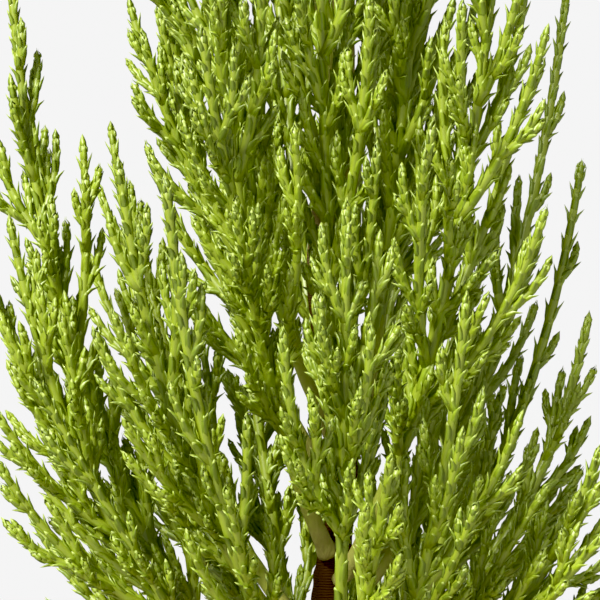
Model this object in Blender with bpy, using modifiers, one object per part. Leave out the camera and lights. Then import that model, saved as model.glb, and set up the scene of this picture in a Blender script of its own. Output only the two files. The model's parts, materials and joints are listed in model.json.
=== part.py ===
"""A young potted cypress: clay pot, soil, trunk, boughs and upright plumes of foliage.

Every shape follows from the named sizes below. Units are metres and +Z points up.
The origin is the centre of the pot's underside.
"""

import math
import random

import bmesh
import bpy
import numpy as np
from mathutils import Matrix, Vector

OBJECT = "potted_cypress"

# Clearance between neighbouring pieces
GAP = 0.0003

# Pot: a plain tapered clay pot with a rim band and a closed, flat foot
POT_HEIGHT = 0.080
POT_RIM_RADIUS = 0.045
POT_BASE_RADIUS = 0.0325
POT_BAND_HEIGHT = 0.015
POT_BAND_STEP = 0.0025
POT_WALL = 0.0040
POT_FLOOR = 0.0050
POT_EDGE = 0.0008
POT_STEPS = 40

# Soil: fills the pot to a little under its rim
SOIL_TOP = 0.0705
SOIL_CROWN = 0.0012
SOIL_CROWN_RADIUS = 0.020
SOIL_FLAT_RADIUS = 0.007

# Trunk: one tapering stem that sways a little on its way up
TRUNK_FOOT = SOIL_TOP + SOIL_CROWN + GAP
TRUNK_TIP = 0.262
TRUNK_FOOT_RADIUS = 0.0026
TRUNK_TIP_RADIUS = 0.0009
TRUNK_FLARE = 0.0019
TRUNK_FLARE_HEIGHT = 0.005
TRUNK_SWAY = 0.0019
TRUNK_SWAY_LENGTH = 0.060
TRUNK_SWAY_START = 0.043
TRUNK_SWAY_RISE = 0.030
TRUNK_SWAY_DEPTH = 0.5
TRUNK_SWAY_STRETCH = 1.4
TRUNK_CROWDING = 1.6
TRUNK_STATIONS = 26
TRUNK_SIDES = 10

# Crown: tiers of boughs, each bough ending in one plume of foliage.
# first_turn and the turns below are degrees about +Z, counted from +X.
# foot is the height where a bough leaves the trunk, reach the distance of a plume's
# tip from the pot's axis, tip its height, and fullness scales its side shoots.
TIERS = (
    {"name": "low", "count": 10, "skip": 3, "first_turn": 273,
     "foot": (0.081, 0.096), "reach": (0.049, 0.054), "tip": (0.146, 0.168)},
    {"name": "middle", "count": 8, "skip": 3, "first_turn": 215,
     "foot": (0.099, 0.116), "reach": (0.040, 0.046), "tip": (0.178, 0.200)},
    {"name": "upper", "count": 6, "skip": 5, "first_turn": 222,
     "foot": (0.124, 0.146), "reach": (0.027, 0.033), "tip": (0.216, 0.240)},
    {"name": "high", "count": 4, "skip": 1, "first_turn": 285,
     "foot": (0.158, 0.196), "reach": (0.012, 0.017), "tip": (0.250, 0.276)},
)
TURN_JITTER = 8

# A bough leaves the trunk and bends upwards at its knee, at these shares of its
# plume's reach and rise
KNEE_REACH = 0.78
KNEE_RISE = 0.30

# Plumes that stand out from the front have places of their own
OWN_PLACES = {
    "low_1": {"turn": 272, "reach": 0.046, "tip": 0.168, "foot": 0.079, "fullness": 1.25},
    "low_2": {"turn": 297, "reach": 0.041, "tip": 0.155},
    "low_3": {"turn": 334, "reach": 0.043, "tip": 0.133, "foot": 0.092, "fullness": 1.15},
    "low_4": {"turn": 20, "reach": 0.042, "tip": 0.152, "foot": 0.0945},
    "low_5": {"turn": 64, "reach": 0.052, "tip": 0.153, "foot": 0.085, "fullness": 1.25},
    "low_6": {"turn": 108, "reach": 0.0465, "tip": 0.173, "foot": 0.0895, "fullness": 1.25},
    "low_8": {"turn": 160, "reach": 0.0485, "tip": 0.1455, "foot": 0.080, "fullness": 0.9},
    "low_9": {"turn": 200, "reach": 0.050, "tip": 0.166, "foot": 0.088, "fullness": 1.1},
    "low_10": {"turn": 245, "reach": 0.055, "tip": 0.171, "foot": 0.0925, "fullness": 0.55},
    "middle_1": {"turn": 228, "reach": 0.0455, "tip": 0.174, "foot": 0.101, "fullness": 1.1},
    "middle_2": {"turn": 243, "reach": 0.0385, "tip": 0.2125, "foot": 0.118, "fullness": 1.25},
    "middle_3": {"turn": 307, "reach": 0.040, "tip": 0.217},
    "middle_4": {"turn": 350, "reach": 0.0375, "tip": 0.175, "foot": 0.0985, "fullness": 0.45},
    "middle_5": {"turn": 36, "reach": 0.0455, "tip": 0.202, "foot": 0.108, "fullness": 0.5},
    "middle_7": {"turn": 140, "reach": 0.045, "tip": 0.182, "foot": 0.105, "fullness": 0.95},
    "middle_8": {"turn": 185, "reach": 0.048, "tip": 0.2015, "foot": 0.0935, "fullness": 1.1,
                 "knee_reach": 0.84, "knee_rise": 0.19},
    "upper_1": {"turn": 236, "reach": 0.0355, "tip": 0.2325, "foot": 0.136, "fullness": 1.25},
    "upper_2": {"turn": 266, "reach": 0.028, "tip": 0.228, "foot": 0.127},
    "upper_3": {"turn": 309, "reach": 0.023, "tip": 0.250, "foot": 0.1355},
    "upper_4": {"turn": 53, "reach": 0.0225, "tip": 0.2235, "foot": 0.139, "fullness": 1.15},
    "upper_6": {"turn": 158, "reach": 0.0295, "tip": 0.2225, "foot": 0.129, "fullness": 0.9},
}

# The bough is the first share of the line, and the plume's stem the rest
BOUGH_SHARE = 0.22
BOUGH_FOOT_RADIUS = 0.00125
BOUGH_TIP_RADIUS = 0.00115
BOUGH_SIDES = 6
BOUGH_STATIONS = 5

# The stretch of trunk that shows from the front, and half the width kept clear there
BARE_TRUNK = (0.1090, 0.1185)
BARE_TRUNK_SIDE = 0.0021

# The leader is the plume that goes on from the trunk's tip
CROWN_TOP = 0.308
CROWN_REACH = 0.0550
CROWN_FOOT = 0.084

# Foliage: a stem, twigs on the stem, and sprays of needles on both. Side shoots leave
# in opposite pairs, each pair a quarter turn from the last. Per rule: the shoots' order,
# step between pairs, bare stretch at the parent's root and tip, longest and shortest
# length, share of the parent's remaining length that a shoot may reach, lift from the
# parent in degrees, girth that is kept clear, and spacing from other shoots. Each shoot
# is tested at a row of points, of which the first few, at its root, may be near others.
STEM_ROOT_RADIUS = 0.00130
STEM_TIP_RADIUS = 0.00060
STEM_STATIONS = 7
TWIG_ROOT_RADIUS = 0.00120
TWIG_TIP_RADIUS = 0.00050
TWIG_STATIONS = 4
SPRAY_RADIUS = 0.00145
SHOOT_SIDES = 3
FACES_KEPT = 0.44
SHOOT_KNEE = 0.42
SHOOT_UPRIGHT = (0.10, 0.40)
SHOOT_SPREAD = (0.02, 0.16)
SHOOT_LENGTHS = (0.60, 1.00)
SHOOT_REACHES = (0.75, 1.10)
SHOOT_TWIST = 0.2
STEP_SPREAD = (0.9, 1.1)
SHOOT_POINTS = 12
ROOT_POINTS = 4
FAR_AWAY = np.ones((1, 3))
AXIS_POINTS = 32
RULES = (
    {"order": 1, "parents": (0,), "step": 0.0120, "first": 0.0050, "bare": 0.0140,
     "longest": 0.0500, "shortest": 0.0080, "reach": 0.62, "lift": (27, 38), "girth": 0.0013,
     "spacing": 0.0042},
    {"order": 2, "parents": (0, 1), "step": 0.0110, "first": 0.0060, "bare": 0.0040,
     "longest": 0.0095, "shortest": 0.0040, "reach": 0.70, "lift": (25, 36), "girth": 0.0014,
     "spacing": 0.0024},
)

# Edges that turn further than this stay sharp in the shading
SHARP_ANGLE = math.radians(35)

# Colours are linear RGB
CLAY = ("clay", (0.46, 0.19, 0.10), 0.85)
EARTH = ("potting soil", (0.035, 0.024, 0.017), 0.95)
BARK = ("bark", (0.10, 0.055, 0.025), 0.85)
FOLIAGE = ("foliage", (0.17, 0.24, 0.02), 0.55)


def mix(low, high, share):
    """The value that lies a share of the way from low to high."""
    return low + (high - low) * share


def unit(vector):
    """The vector at length one."""
    return vector / np.linalg.norm(vector)


def clear_scene():
    """Remove the objects that the scene starts with."""
    for item in list(bpy.data.objects):
        bpy.data.objects.remove(item)


def new_collection(name):
    """A collection linked to the scene."""
    collection = bpy.data.collections.new(name)
    bpy.context.scene.collection.children.link(collection)
    return collection


def finish(name, colour, roughness):
    """A material with one Principled BSDF."""
    material = bpy.data.materials.new(name)
    material.use_nodes = True
    shader = material.node_tree.nodes["Principled BSDF"]
    shader.inputs["Base Color"].default_value = (*colour, 1.0)
    shader.inputs["Roughness"].default_value = roughness
    return material


def evaluated_mesh(item):
    """A new mesh of the object as its modifiers or its bevel leave it."""
    bpy.context.view_layer.update()
    depsgraph = bpy.context.evaluated_depsgraph_get()
    return bpy.data.meshes.new_from_object(item.evaluated_get(depsgraph))


# Turned pieces


def turned(name, profile, parts, material):
    """A piece turned about the Z axis from a profile of (radius, height) corners.

    The profile starts and ends on the axis, and runs down the piece's outer side.
    """
    mesh = bpy.data.meshes.new(name)
    corners = [(radius, 0, height) for radius, height in profile]
    mesh.from_pydata(corners, [(i, i + 1) for i in range(len(corners) - 1)], [])
    mesh.materials.append(material)
    item = bpy.data.objects.new(name, mesh)
    parts.objects.link(item)
    screw = item.modifiers.new("turned", "SCREW")
    screw.axis = "Z"
    screw.steps = POT_STEPS
    screw.render_steps = POT_STEPS
    screw.use_merge_vertices = True
    screw.merge_threshold = 0.00001
    return item


def pot_radius(height):
    """Outer radius of the pot's wall under its band, at a height."""
    return mix(POT_BASE_RADIUS, POT_RIM_RADIUS - POT_BAND_STEP, height / POT_HEIGHT)


def make_pot(parts, material):
    """The clay pot: floor, tapered wall and rim band, with eased edges."""
    band_foot = POT_HEIGHT - POT_BAND_HEIGHT
    mouth = pot_radius(POT_HEIGHT) - POT_WALL
    profile = [
        (0, POT_FLOOR),
        (pot_radius(POT_FLOOR) - POT_WALL, POT_FLOOR),
        (mouth, POT_HEIGHT - POT_EDGE),
        (mouth + POT_EDGE, POT_HEIGHT),
        (POT_RIM_RADIUS - POT_EDGE, POT_HEIGHT),
        (POT_RIM_RADIUS, POT_HEIGHT - POT_EDGE),
        (POT_RIM_RADIUS - POT_EDGE, band_foot + POT_EDGE),
        (POT_RIM_RADIUS - 2 * POT_EDGE, band_foot),
        (pot_radius(band_foot), band_foot),
        (pot_radius(POT_EDGE), POT_EDGE),
        (POT_BASE_RADIUS - POT_EDGE, 0),
        (0, 0),
    ]
    return turned("pot", profile, parts, material)


def make_soil(parts, material):
    """The soil that fills the pot, slightly crowned round the trunk's flat foot."""
    side_top = SOIL_TOP - SOIL_CROWN
    foot = POT_FLOOR + GAP
    middle = SOIL_TOP + SOIL_CROWN
    profile = [
        (0, middle),
        (SOIL_FLAT_RADIUS, middle),
        (SOIL_CROWN_RADIUS, SOIL_TOP),
        (pot_radius(side_top) - POT_WALL - 2 * GAP, side_top),
        (pot_radius(foot) - POT_WALL - 2 * GAP, foot),
        (0, foot),
    ]
    return turned("soil", profile, parts, material)


# Limbs


def tube_mesh(name, points, radii, sides):
    """A welded, capped tube along the points, with a regular section of so many sides."""
    section = bpy.data.curves.new("section", "CURVE")
    ring = section.splines.new("POLY")
    ring.points.add(sides - 1)
    ring.use_cyclic_u = True
    for index, corner in enumerate(ring.points):
        angle = 2 * math.pi * index / sides
        corner.co = (math.cos(angle), -math.sin(angle), 0, 1)
    guide = bpy.data.objects.new("section", section)
    curve = bpy.data.curves.new(name, "CURVE")
    curve.dimensions = "3D"
    curve.bevel_mode = "OBJECT"
    curve.bevel_object = guide
    curve.use_fill_caps = True
    spline = curve.splines.new("POLY")
    spline.points.add(len(points) - 1)
    for knot, place, radius in zip(spline.points, points, radii):
        knot.co = (*place, 1)
        knot.radius = radius
    item = bpy.data.objects.new(name, curve)
    bpy.context.scene.collection.objects.link(guide)
    bpy.context.scene.collection.objects.link(item)
    mesh = evaluated_mesh(item)
    for spare in (item, guide):
        bpy.data.objects.remove(spare)
    shape = bmesh.new()
    shape.from_mesh(mesh)
    bmesh.ops.remove_doubles(shape, verts=shape.verts, dist=1e-6)
    bmesh.ops.recalc_face_normals(shape, faces=shape.faces)
    shape.to_mesh(mesh)
    shape.free()
    return mesh


def place_mesh(name, mesh, collection, material):
    """An object for the mesh, in the collection, with the material."""
    mesh.name = name
    item = bpy.data.objects.new(name, mesh)
    mesh.materials.clear()
    mesh.materials.append(material)
    collection.objects.link(item)
    return item


def trunk_centre(height):
    """Point on the trunk's middle line at a height.

    The sway is a sine that starts at nothing on the soil and grows to its full width.
    """
    rise = height - TRUNK_FOOT
    growth = TRUNK_SWAY * (1 - math.exp(-((rise / TRUNK_SWAY_RISE) ** 2)))
    across = growth * math.sin(2 * math.pi * (rise - TRUNK_SWAY_START) / TRUNK_SWAY_LENGTH)
    away = math.sin(2 * math.pi * rise / (TRUNK_SWAY_STRETCH * TRUNK_SWAY_LENGTH))
    return np.array([across, growth * TRUNK_SWAY_DEPTH * away, height])


def trunk_radius(height):
    """Radius of the trunk at a height: an even taper with a root flare at its foot."""
    rise = height - TRUNK_FOOT
    taper = mix(TRUNK_FOOT_RADIUS, TRUNK_TIP_RADIUS, rise / (TRUNK_TIP - TRUNK_FOOT))
    return taper + TRUNK_FLARE * math.exp(-rise / TRUNK_FLARE_HEIGHT)


def trunk_heights(count):
    """Heights up the trunk, closer together in the root flare."""
    return TRUNK_FOOT + (TRUNK_TIP - TRUNK_FOOT) * np.linspace(0, 1, count) ** TRUNK_CROWDING


def make_trunk(parts, material):
    """The trunk, from its flat cut on the soil to its tip inside the crown."""
    heights = trunk_heights(TRUNK_STATIONS)
    points = [trunk_centre(height) for height in heights]
    radii = [trunk_radius(height) for height in heights]
    return place_mesh("trunk", tube_mesh("trunk", points, radii, TRUNK_SIDES), parts, material)


# The growth rule: a curve is (root, knee, tip), and a share runs from 0 to 1 along it


def point_on(curve, share):
    """Points of the quadratic curve at the shares."""
    root, knee, tip = curve
    share = np.asarray(share, dtype=float)[..., None]
    return root * (1 - share) ** 2 + 2 * knee * share * (1 - share) + tip * share ** 2


def heading(curve, share):
    """Unit direction of the quadratic curve at one share."""
    root, knee, tip = curve
    return unit(mix(knee - root, tip - knee, share))


def part_of(curve, start, end):
    """The stretch of a quadratic curve between two shares, as a curve of its own."""
    root, knee, tip = curve
    middle = mix(mix(root, knee, start), mix(knee, tip, start), end)
    return (point_on(curve, start), middle, point_on(curve, end))


def curve_length(curve):
    """Length of the curve's two legs, a little more than its own."""
    root, knee, tip = curve
    return float(np.linalg.norm(knee - root) + np.linalg.norm(tip - knee))


def plume_places():
    """Turn, foot, reach, tip, knee and fullness of every plume on a bough, by its name."""
    places = {}
    for tier in TIERS:
        for index in range(tier["count"]):
            name = f"{tier['name']}_{index + 1}"
            dice = random.Random(name)
            order = index * tier["skip"] % tier["count"] / (tier["count"] - 1)
            turn = tier["first_turn"] + index * 360 / tier["count"]
            places[name] = {
                "turn": turn + dice.uniform(-TURN_JITTER, TURN_JITTER),
                "foot": mix(*tier["foot"], order),
                "reach": mix(*tier["reach"], dice.random()),
                "tip": mix(*tier["tip"], dice.random()),
                "knee_reach": KNEE_REACH,
                "knee_rise": KNEE_RISE,
                "fullness": 1.0,
            }
            places[name].update(OWN_PLACES.get(name, {}))
    return places


def plume_curve(place):
    """The line of a bough and its plume's stem, from the trunk's bark to the plume's tip."""
    turn = math.radians(place["turn"])
    out = np.array([math.cos(turn), math.sin(turn), 0.0])
    foot = place["foot"]
    centre = trunk_centre(foot)
    knee = out * place["reach"] * place["knee_reach"]
    knee[2] = mix(foot, place["tip"], place["knee_rise"])
    end = out * place["reach"]
    end[2] = place["tip"]
    slant = unit(knee - centre)[2]
    start = centre + out * (trunk_radius(foot) + GAP + BOUGH_FOOT_RADIUS * slant)
    return (start, knee, end)


def leader_curve():
    """The line of the plume that goes on from the trunk's tip."""
    start = trunk_centre(TRUNK_TIP)
    start[2] += GAP
    end = np.array([start[0], start[1], CROWN_TOP])
    return (start, (start + end) / 2, end)


def side_curve(parent, share, spin, lift, length, dice):
    """A shoot that leaves its parent at an angle and bends round to run beside it."""
    root = point_on(parent, share)
    along = heading(parent, share)
    across = unit(np.cross(along, (1.0, 0.0, 0.0)))
    out = across * math.cos(spin) + np.cross(along, across) * math.sin(spin)
    leave = along * math.cos(lift) + out * math.sin(lift)
    run = mix(along, np.array([0.0, 0.0, 1.0]), dice.uniform(*SHOOT_UPRIGHT))
    run = unit(run + out * dice.uniform(*SHOOT_SPREAD))
    knee = root + leave * length * SHOOT_KNEE
    return (root, knee, knee + run * length * (1 - SHOOT_KNEE))


class Crown:
    """The lines of all the plumes, and the room that each of them has."""

    def __init__(self):
        self.places = plume_places()
        self.curves = {name: plume_curve(place) for name, place in self.places.items()}
        self.curves["leader"] = leader_curve()
        self.names = list(self.curves)
        shares = np.linspace(0, 1, AXIS_POINTS)
        self.lines = np.array([point_on(curve, shares) for curve in self.curves.values()])
        heights = trunk_heights(2 * AXIS_POINTS)
        self.trunk = np.array([trunk_centre(height) for height in heights])
        self.trunk_radii = np.array([trunk_radius(height) for height in heights])

    def bough(self, name):
        """The bough's part of a plume's line."""
        curve = self.curves[name]
        return part_of(curve, 0, BOUGH_SHARE - GAP / curve_length(curve))

    def stem(self, name):
        """The stem's part of a plume's line."""
        start = 0 if name == "leader" else BOUGH_SHARE
        return part_of(self.curves[name], start, 1)

    def roomy(self, name, points, girth):
        """Which of the points a shoot of this girth may pass, in the plume's own space.

        That space is nearer to the plume's own line than to any other, clear of the
        trunk and of the other boughs, inside the crown's reach, and not before the
        stretch of trunk that shows from the front.
        """
        index = self.names.index(name)
        away = np.linalg.norm(points[:, None, None] - self.lines, axis=-1).min(axis=2)
        other = np.delete(away, index, axis=1).min(axis=1)
        trunk = np.linalg.norm(points[:, None] - self.trunk, axis=-1) - self.trunk_radii
        free = other - away[:, index] > 2 * girth + GAP
        free &= other > BOUGH_FOOT_RADIUS + girth + GAP
        free &= trunk.min(axis=1) > girth + 2 * GAP
        free &= np.hypot(points[:, 0], points[:, 1]) < CROWN_REACH - girth
        middle = np.array([trunk_centre(height)[0] for height in points[:, 2]])
        before = (points[:, 2] > BARE_TRUNK[0]) & (points[:, 2] < BARE_TRUNK[1]) & (points[:, 1] < 0)
        before &= np.abs(points[:, 0] - middle) < BARE_TRUNK_SIDE + girth
        return free & ~before & (points[:, 2] > CROWN_FOOT) & (points[:, 2] < CROWN_TOP)


def free_share(free):
    """The share of a row of points that comes before the first one without room."""
    if free.all():
        return 1.0
    return max(int(np.argmin(free)) - 1, 0) / (len(free) - 1)


def grow_plume(crown, name):
    """The stem, twigs and sprays of a plume, as rows of (order, curve)."""
    shoots = [(0, crown.stem(name))]
    fullness = crown.places[name]["fullness"] if name in crown.places else 1.0
    shares = np.linspace(0, 1, SHOOT_POINTS)
    taken = [point_on(shoots[0][1], shares)]
    for rule in RULES:
        for parent in range(len(shoots)):
            curve = shoots[parent][1]
            whole = curve_length(curve)
            dice = random.Random(f"{name} {rule['order']} {parent}")
            spin = dice.uniform(0, math.pi)
            place = rule["first"]
            while place < whole - rule["bare"] and shoots[parent][0] in rule["parents"]:
                for side in (0, math.pi):
                    longest = rule["longest"] * dice.uniform(*SHOOT_LENGTHS)
                    reach = rule["reach"] * (whole - place) * dice.uniform(*SHOOT_REACHES)
                    length = fullness * min(longest, reach)
                    lift = math.radians(dice.uniform(*rule["lift"]))
                    turn = spin + side + dice.uniform(-SHOOT_TWIST, SHOOT_TWIST)
                    shoot = side_curve(curve, place / whole, turn, lift, length, dice)
                    points = point_on(shoot, shares)
                    share = free_share(crown.roomy(name, points, rule["girth"]))
                    others = np.concatenate([FAR_AWAY, *taken[:parent], *taken[parent + 1:]])
                    away = np.linalg.norm(points[:, None] - others, axis=-1).min(axis=1)
                    away[:ROOT_POINTS] = math.inf
                    share = min(share, free_share(away > rule["spacing"]))
                    if length * share > rule["shortest"]:
                        shoots.append((rule["order"], part_of(shoot, 0, share)))
                        taken.append(points[ROOT_POINTS:int(share * SHOOT_POINTS)])
                spin += math.pi / 2
                place += rule["step"] * dice.uniform(*STEP_SPREAD)
    return shoots


# Foliage solids


def shoot_mesh(name, curve, root_radius, tip_radius, stations):
    """A three-sided tapering tube along a shoot's curve."""
    shares = np.linspace(0, 1, stations)
    return tube_mesh(name, point_on(curve, shares), mix(root_radius, tip_radius, shares), SHOOT_SIDES)


def spray_mesh(curve):
    """A pointed three-sided spike that stands for a spray of needles."""
    root, _, tip = curve
    shape = bmesh.new()
    length = float(np.linalg.norm(tip - root))
    lie = Vector(tip - root).to_track_quat("Z", "X").to_matrix().to_4x4()
    middle = Matrix.Translation(Vector((root + tip) / 2))
    bmesh.ops.create_cone(shape, cap_ends=True, segments=SHOOT_SIDES, radius1=SPRAY_RADIUS,
                          radius2=0, depth=length, matrix=middle @ lie)
    mesh = bpy.data.meshes.new("spray")
    shape.to_mesh(mesh)
    shape.free()
    return mesh


def main_shell(mesh):
    """Keep the mesh's largest closed shell, so no loose scrap or sealed hollow is left."""
    shape = bmesh.new()
    shape.from_mesh(mesh)
    left = set(shape.faces)
    shells = []
    while left:
        shell = set()
        front = [left.pop()]
        while front:
            face = front.pop()
            shell.add(face)
            near = {other for edge in face.edges for other in edge.link_faces} & left
            left -= near
            front.extend(near)
        shells.append(shell)
    for shell in sorted(shells, key=len)[:-1]:
        bmesh.ops.delete(shape, geom=list(shell), context="FACES")
    shape.to_mesh(mesh)
    shape.free()


def make_plume(crown, name, parts, material):
    """One mass of foliage: its twigs and sprays fused to its stem."""
    twigs = new_collection(f"twigs {name}")
    stem = None
    for order, curve in grow_plume(crown, name):
        if order == 0:
            mesh = shoot_mesh("stem", curve, STEM_ROOT_RADIUS, STEM_TIP_RADIUS, STEM_STATIONS)
            stem = place_mesh("stem", mesh, parts, material)
        elif order == 1:
            mesh = shoot_mesh("twig", curve, TWIG_ROOT_RADIUS, TWIG_TIP_RADIUS, TWIG_STATIONS)
            place_mesh("twig", mesh, twigs, material)
        else:
            place_mesh("spray", spray_mesh(curve), twigs, material)
    union = stem.modifiers.new("fused", "BOOLEAN")
    union.operation = "UNION"
    union.operand_type = "COLLECTION"
    union.collection = twigs
    union.solver = "EXACT"
    lighter = stem.modifiers.new("lighter", "DECIMATE")
    lighter.ratio = FACES_KEPT
    lighter.use_collapse_triangulate = True
    mesh = evaluated_mesh(stem)
    for item in [stem, *twigs.objects]:
        bpy.data.objects.remove(item)
    bpy.data.collections.remove(twigs)
    main_shell(mesh)
    return place_mesh(f"plume_{name}", mesh, parts, material)


def make_bough(crown, name, parts, material):
    """One tapering bough, from the trunk to its plume's stem."""
    shares = np.linspace(0, 1, BOUGH_STATIONS)
    points = point_on(crown.bough(name), shares)
    radii = mix(BOUGH_FOOT_RADIUS, BOUGH_TIP_RADIUS, shares)
    return place_mesh(f"bough_{name}", tube_mesh("bough", points, radii, BOUGH_SIDES), parts, material)


def make_cypress():
    """The whole plant in its pot."""
    clear_scene()
    parts = new_collection(OBJECT)
    clay, earth, bark, foliage = (finish(*row) for row in (CLAY, EARTH, BARK, FOLIAGE))
    make_pot(parts, clay)
    make_soil(parts, earth)
    make_trunk(parts, bark)
    crown = Crown()
    for name in crown.names:
        if name != "leader":
            make_bough(crown, name, parts, bark)
        make_plume(crown, name, parts, foliage)
    total = 0
    for item in parts.objects:
        total += sum(len(face.vertices) - 2 for face in item.data.polygons)
        item.data.shade_smooth()
        item.data.set_sharp_from_angle(angle=SHARP_ANGLE)
    print(len(parts.objects), "pieces,", total, "triangles before the turned ones")


make_cypress()
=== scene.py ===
# %% [markdown]
# # A young potted cypress
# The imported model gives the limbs, the pot and the room that each plume of foliage
# has. This script dresses them: bark on the trunk and boughs, thousands of small
# awl-shaped needles on fine shoots, a turned clay pot and crumbly soil.
# Everything is in metres, with +Z up and the pot's underside at zero.

# %% Load the frame
import json
import math
import random
import time

import bpy
import numpy as np
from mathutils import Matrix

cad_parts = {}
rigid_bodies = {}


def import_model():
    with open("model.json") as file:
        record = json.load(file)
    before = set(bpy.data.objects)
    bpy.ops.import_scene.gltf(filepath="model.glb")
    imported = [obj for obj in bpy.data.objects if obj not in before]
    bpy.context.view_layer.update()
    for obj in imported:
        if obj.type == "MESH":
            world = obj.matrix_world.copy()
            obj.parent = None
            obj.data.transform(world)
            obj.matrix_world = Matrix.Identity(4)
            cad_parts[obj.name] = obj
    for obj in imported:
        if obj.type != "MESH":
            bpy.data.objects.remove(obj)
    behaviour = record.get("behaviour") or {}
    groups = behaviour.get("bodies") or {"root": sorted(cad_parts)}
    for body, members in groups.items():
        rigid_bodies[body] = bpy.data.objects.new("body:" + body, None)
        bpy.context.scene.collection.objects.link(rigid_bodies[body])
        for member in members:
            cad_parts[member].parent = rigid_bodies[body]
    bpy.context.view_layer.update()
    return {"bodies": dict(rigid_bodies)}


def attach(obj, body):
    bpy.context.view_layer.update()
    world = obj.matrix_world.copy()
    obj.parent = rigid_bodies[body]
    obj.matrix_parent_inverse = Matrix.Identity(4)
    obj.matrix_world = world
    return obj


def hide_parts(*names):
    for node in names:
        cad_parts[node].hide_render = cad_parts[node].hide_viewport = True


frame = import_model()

BODY = list(frame["bodies"])[0]
STARTED = time.time()

# %% [markdown]
# ## Camera and light
# The camera stands level with the crown's middle, and sees 90 mm of it. A long lens
# from 0.6 m away keeps the shoots nearly parallel, as a close studio picture does.
# One broad lamp high on the left gives the bright side, and a pale world fills the
# shade. The world shows the camera a lighter tone than it sheds, so the
# backdrop can be near white without washing out the shadows. The view's black level
# then takes a little off every colour, because this foliage's shade holds almost no
# blue.

# %% Camera and light
VIEW_WIDTH = 0.090
VIEW_CENTRE = (-0.0048, 0.0, 0.155)
VIEW_DISTANCE = 0.60
SENSOR = 36.0
BACKDROP = 0.913
FILL = 0.46
MIRRORED = 0.02
KEY_STRENGTH = 5.6
KEY_ANGLE = 12.0
KEY_TURN = (52.0, 0.0, -38.0)
BLACK_LEVEL = (0.010, 0.010, 0.012)


def new_object(name, data):
    """An object for the data, linked to the scene."""
    item = bpy.data.objects.new(name, data)
    bpy.context.scene.collection.objects.link(item)
    return item


def add_camera():
    """A level camera in front of the crown."""
    data = bpy.data.cameras.new("camera")
    data.sensor_width = SENSOR
    data.lens = SENSOR * VIEW_DISTANCE / VIEW_WIDTH
    data.clip_start = 0.01
    camera = new_object("camera", data)
    camera.location = (VIEW_CENTRE[0], VIEW_CENTRE[1] - VIEW_DISTANCE, VIEW_CENTRE[2])
    camera.rotation_euler = (math.pi / 2, 0, 0)
    bpy.context.scene.camera = camera


def add_key():
    """A broad lamp from the upper left."""
    data = bpy.data.lights.new("key", "SUN")
    data.energy = KEY_STRENGTH
    data.angle = math.radians(KEY_ANGLE)
    data.color = (1.0, 0.985, 0.95)
    lamp = new_object("key", data)
    lamp.rotation_euler = [math.radians(angle) for angle in KEY_TURN]


def add_world():
    """A pale world: one tone for the camera, a softer one for everything it lights."""
    world = bpy.data.worlds.new("studio")
    bpy.context.scene.world = world
    world.use_nodes = True
    nodes, links = world.node_tree.nodes, world.node_tree.links
    fill = nodes["Background"]
    fill.inputs["Color"].default_value = (1, 1, 1, 1)
    fill.inputs["Strength"].default_value = FILL
    seen = nodes.new("ShaderNodeBackground")
    seen.inputs["Color"].default_value = (BACKDROP, BACKDROP, BACKDROP, 1)
    mirrored = nodes.new("ShaderNodeBackground")
    mirrored.inputs["Strength"].default_value = MIRRORED
    sight = nodes.new("ShaderNodeLightPath")
    shed = nodes.new("ShaderNodeMixShader")
    links.new(sight.outputs["Is Glossy Ray"], shed.inputs[0])
    links.new(fill.outputs[0], shed.inputs[1])
    links.new(mirrored.outputs[0], shed.inputs[2])
    blend = nodes.new("ShaderNodeMixShader")
    links.new(sight.outputs["Is Camera Ray"], blend.inputs[0])
    links.new(shed.outputs[0], blend.inputs[1])
    links.new(seen.outputs[0], blend.inputs[2])
    links.new(blend.outputs[0], nodes["World Output"].inputs["Surface"])


add_camera()
add_key()
add_world()
view = bpy.context.scene.view_settings
view.view_transform = "Standard"
view.use_curve_mapping = True
view.curve_mapping.black_level = BLACK_LEVEL
view.curve_mapping.update()
print("camera lens", round(bpy.context.scene.camera.data.lens), "mm")

# %% [markdown]
# ## Helpers for meshes
# Each surface below is worked out as whole numpy arrays. This helper hands the arrays
# to Blender in one go with foreach_set, which is much faster than adding faces one by
# one, and sets which material slot each face takes.

# %% Mesh helper
def add_mesh(name, points, faces, materials, slots=None, smooth=True):
    """A piece from a table of points and a table of faces with one number of corners."""
    mesh = bpy.data.meshes.new(name)
    corners = faces.shape[1]
    mesh.vertices.add(len(points))
    mesh.vertices.foreach_set("co", points.astype(np.float32).ravel())
    mesh.loops.add(faces.size)
    mesh.loops.foreach_set("vertex_index", faces.astype(np.int32).ravel())
    mesh.polygons.add(len(faces))
    mesh.polygons.foreach_set("loop_start", np.arange(0, faces.size, corners, dtype=np.int32))
    for material in materials:
        mesh.materials.append(material)
    if slots is not None:
        mesh.polygons.foreach_set("material_index", slots.astype(np.int32))
    mesh.update(calc_edges=True)
    mesh.validate()
    mesh.shade_smooth() if smooth else mesh.shade_flat()
    return new_object(name, mesh)


def add_attribute(item, name, values):
    """A number for every point of the piece's mesh."""
    layer = item.data.attributes.new(name, "FLOAT", "POINT")
    layer.data.foreach_set("value", values.astype(np.float32).ravel())


def grid_faces(rows, columns, closed=True):
    """Quads between neighbouring rows of a grid; closed joins the last column to the first."""
    row, column = np.meshgrid(np.arange(rows - 1), np.arange(columns - (not closed)), indexing="ij")
    near = row * columns + column
    across = row * columns + (column + 1) % columns
    return np.stack([near, across, across + columns, near + columns], axis=-1).reshape(-1, 4)


# %% [markdown]
# ## The limbs' lines
# The trunk sways a little. Boughs leave it in four tiers, and each bends upwards at its
# knee, so every line is a quadratic curve through a root, a knee and a tip. These
# are the solids' own sizes and rule, written again, so that bark and shoots grow
# exactly where the solids stand.

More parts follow.
